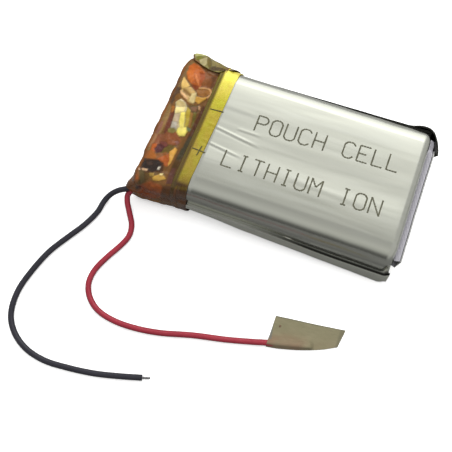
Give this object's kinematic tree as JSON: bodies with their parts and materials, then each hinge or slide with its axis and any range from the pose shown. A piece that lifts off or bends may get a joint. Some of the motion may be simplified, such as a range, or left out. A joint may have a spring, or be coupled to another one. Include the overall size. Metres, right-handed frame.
{
  "type": "pouch battery cell",
  "caption": "Lithium pouch cell in an aluminium laminate pouch with folded seal edges, a taped protection board at its terminal end and two free leads.",
  "frame": {"origin": "middle of the cell's underside, leads left out, on the back face's plane", "axes": "+X along the cell from the taped terminal end to the sealed far end, +Y across it away from the corner where the leads come out, +Z out of the printed front face"},
  "size_m": [0.0561, 0.0558, 0.009],
  "materials": {
    "laminate": "satin aluminium laminate with a clear film over it, soft lengthwise creases",
    "amber_tape": "crumpled translucent amber polyimide tape, glossy",
    "yellow_tape": "single yellow layer of the tape over bright laminate",
    "nickel": "plain nickel strip",
    "tab_aluminium": "plain aluminium strip",
    "graphite": "graphite coating on copper foil",
    "cathode": "oxide coating on aluminium foil",
    "separator": "white microporous film",
    "seal_film": "heat sealing film on the tabs",
    "board": "solder masked board laminate",
    "chip": "moulded black package",
    "capacitor": "plain ceramic body",
    "solder": "bright solder",
    "paper": "insulating paper",
    "roll_tape": "green fixing tape",
    "red_insulation": "soft red wire insulation",
    "black_insulation": "soft black wire insulation",
    "tinned_wire": "tinned copper strands",
    "masking_tape": "creped masking tape"
  },
  "bodies": {
    "root": {"pouch_front_shell": "laminate", "pouch_back_shell": "laminate", "anode_winding": "graphite", "cathode_winding": "cathode", "separator_inner_winding": "separator", "separator_outer_winding": "separator", "roll_fixing_tape": "roll_tape", "negative_tab": "nickel", "positive_tab": "tab_aluminium", "negative_tab_seal_front": "seal_film", "negative_tab_seal_back": "seal_film", "positive_tab_seal_front": "seal_film", "positive_tab_seal_back": "seal_film", "board_insulation_pad": "paper", "protection_board": "board", "protection_ic": "chip", "mosfet_pair": "chip", "filter_resistor": "chip", "sense_resistor": "chip", "filter_capacitor": "capacitor", "negative_weld_plate": "nickel", "positive_weld_plate": "nickel", "negative_solder_joint": "solder", "positive_solder_joint": "solder", "tape_first_layer": "yellow_tape", "terminal_tape_wrap": "amber_tape", "tape_end_tuck": "amber_tape", "red_lead": "red_insulation", "black_lead": "black_insulation", "black_lead_tip": "tinned_wire", "red_lead_tip": "tinned_wire", "red_lead_flag": "masking_tape"}
  },
  "joints": []
}
